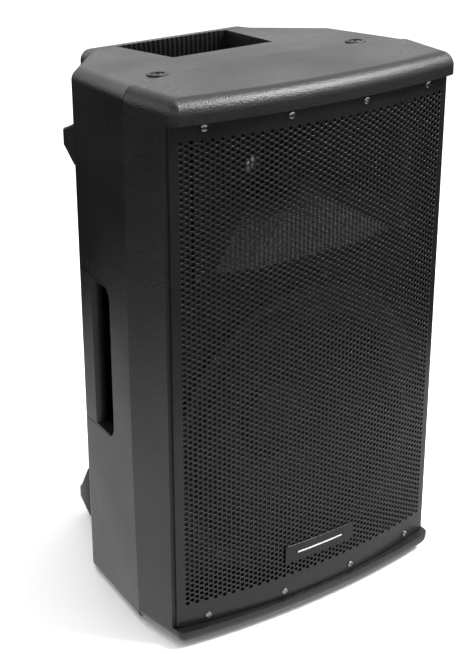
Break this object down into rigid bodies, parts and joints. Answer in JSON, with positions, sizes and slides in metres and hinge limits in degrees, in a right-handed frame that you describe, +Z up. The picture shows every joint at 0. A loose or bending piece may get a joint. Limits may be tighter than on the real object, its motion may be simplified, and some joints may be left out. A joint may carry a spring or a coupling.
{
  "type": "loudspeaker cabinet",
  "caption": "Upright moulded PA speaker cabinet with a bowed perforated grille, woofer and horn behind it, side and top grip handles, and a rear amplifier panel.",
  "frame": {"origin": "on the floor, under the middle of the cabinet's outer box", "axes": "+Z up, the grille faces -Y, +X is to the right as seen from the front"},
  "size_m": [0.4272, 0.381, 0.69],
  "materials": {
    "shell_plastic": "moulded, pebble grain, satin black",
    "grille_steel": "satin black powder coat",
    "screw_steel": "nickel-plated",
    "badge_metal": "dark satin, plain, no lettering",
    "frame_metal": "black painted steel",
    "magnet_metal": "ferrite ring and plated steel plates",
    "cone_paper": "treated black paper",
    "surround_cloth": "doped cloth roll",
    "spider_cloth": "resin-dipped cloth",
    "coil_copper": "enamelled copper winding",
    "horn_plastic": "smooth satin black",
    "plug_metal": "bare matt",
    "rubber": "matt black",
    "knob_plastic": "soft-touch black with a pale pointer line",
    "panel_metal": "satin black, fine texture",
    "sink_metal": "black anodised",
    "jack_plastic": "satin black",
    "latch_plastic": "grey",
    "board_green": "circuit board with black components"
  },
  "bodies": {
    "cabinet": {"front_shell": "shell_plastic", "mid_shell": "shell_plastic", "rear_shell": "shell_plastic", "grille": "grille_steel", "grille_screw_1": "screw_steel", "grille_screw_2": "screw_steel", "grille_screw_3": "screw_steel", "grille_screw_4": "screw_steel", "grille_screw_5": "screw_steel", "grille_screw_6": "screw_steel", "grille_screw_7": "screw_steel", "grille_screw_8": "screw_steel", "woofer_screw_1": "screw_steel", "woofer_screw_2": "screw_steel", "woofer_screw_3": "screw_steel", "woofer_screw_4": "screw_steel", "horn_screw_1": "screw_steel", "horn_screw_2": "screw_steel", "horn_screw_3": "screw_steel", "horn_screw_4": "screw_steel", "panel_screw_1": "screw_steel", "panel_screw_2": "screw_steel", "panel_screw_3": "screw_steel", "panel_screw_4": "screw_steel", "fly_bolt_left": "screw_steel", "fly_bolt_right": "screw_steel", "badge": "badge_metal", "woofer_frame": "frame_metal", "fly_insert_left": "frame_metal", "fly_insert_right": "frame_metal", "pole_cup": "frame_metal", "woofer_magnet": "magnet_metal", "compression_driver": "magnet_metal", "woofer_surround": "surround_cloth", "woofer_spider": "spider_cloth", "transformer": "coil_copper", "horn": "horn_plastic", "phase_plug": "plug_metal", "grille_standoff": "rubber", "foot_front_left": "rubber", "foot_front_right": "rubber", "foot_rear_left": "rubber", "foot_rear_right": "rubber", "amp_panel": "panel_metal", "heat_sink": "sink_metal", "input_jack_1": "jack_plastic", "input_jack_2": "jack_plastic", "link_jack": "jack_plastic", "mains_inlet": "jack_plastic", "power_switch": "jack_plastic", "amp_board": "board_green"},
    "cone": {"woofer_cone": "cone_paper", "woofer_dust_cap": "cone_paper", "voice_coil": "coil_copper"},
    "level_knob_1": {"level_knob_1": "knob_plastic"},
    "level_knob_2": {"level_knob_2": "knob_plastic"},
    "level_knob_3": {"level_knob_3": "knob_plastic"},
    "power_rocker": {"power_rocker": "jack_plastic"},
    "jack_latch_1": {"jack_latch_1": "latch_plastic"},
    "jack_latch_2": {"jack_latch_2": "latch_plastic"}
  },
  "joints": [
    {"name": "cone_travel", "type": "slide", "parent": "cabinet", "child": "cone", "axis": [0, -1, 0], "range_m": [-0.006, 0.006], "stiffness_N_per_m": 4000, "deforming": ["woofer_surround", "woofer_spider"]},
    {"name": "level_knob_1_turn", "type": "hinge", "parent": "cabinet", "child": "level_knob_1", "pos_m": [-0.045, 0.1648, 0.462], "axis": [0, 1, 0], "range_deg": [-150, 150]},
    {"name": "level_knob_2_turn", "type": "hinge", "parent": "cabinet", "child": "level_knob_2", "pos_m": [0, 0.1648, 0.462], "axis": [0, 1, 0], "range_deg": [-150, 150]},
    {"name": "level_knob_3_turn", "type": "hinge", "parent": "cabinet", "child": "level_knob_3", "pos_m": [0.045, 0.1648, 0.462], "axis": [0, 1, 0], "range_deg": [-150, 150]},
    {"name": "power_rocker_tilt", "type": "hinge", "parent": "cabinet", "child": "power_rocker", "pos_m": [0.035, 0.1628, 0.174], "axis": [1, 0, 0], "range_deg": [0, 16]},
    {"name": "jack_latch_1_press", "type": "slide", "parent": "cabinet", "child": "jack_latch_1", "axis": [0, -1, 0], "range_m": [0, 0.0015], "stiffness_N_per_m": 300},
    {"name": "jack_latch_2_press", "type": "slide", "parent": "cabinet", "child": "jack_latch_2", "axis": [0, -1, 0], "range_m": [0, 0.0015], "stiffness_N_per_m": 300}
  ]
}
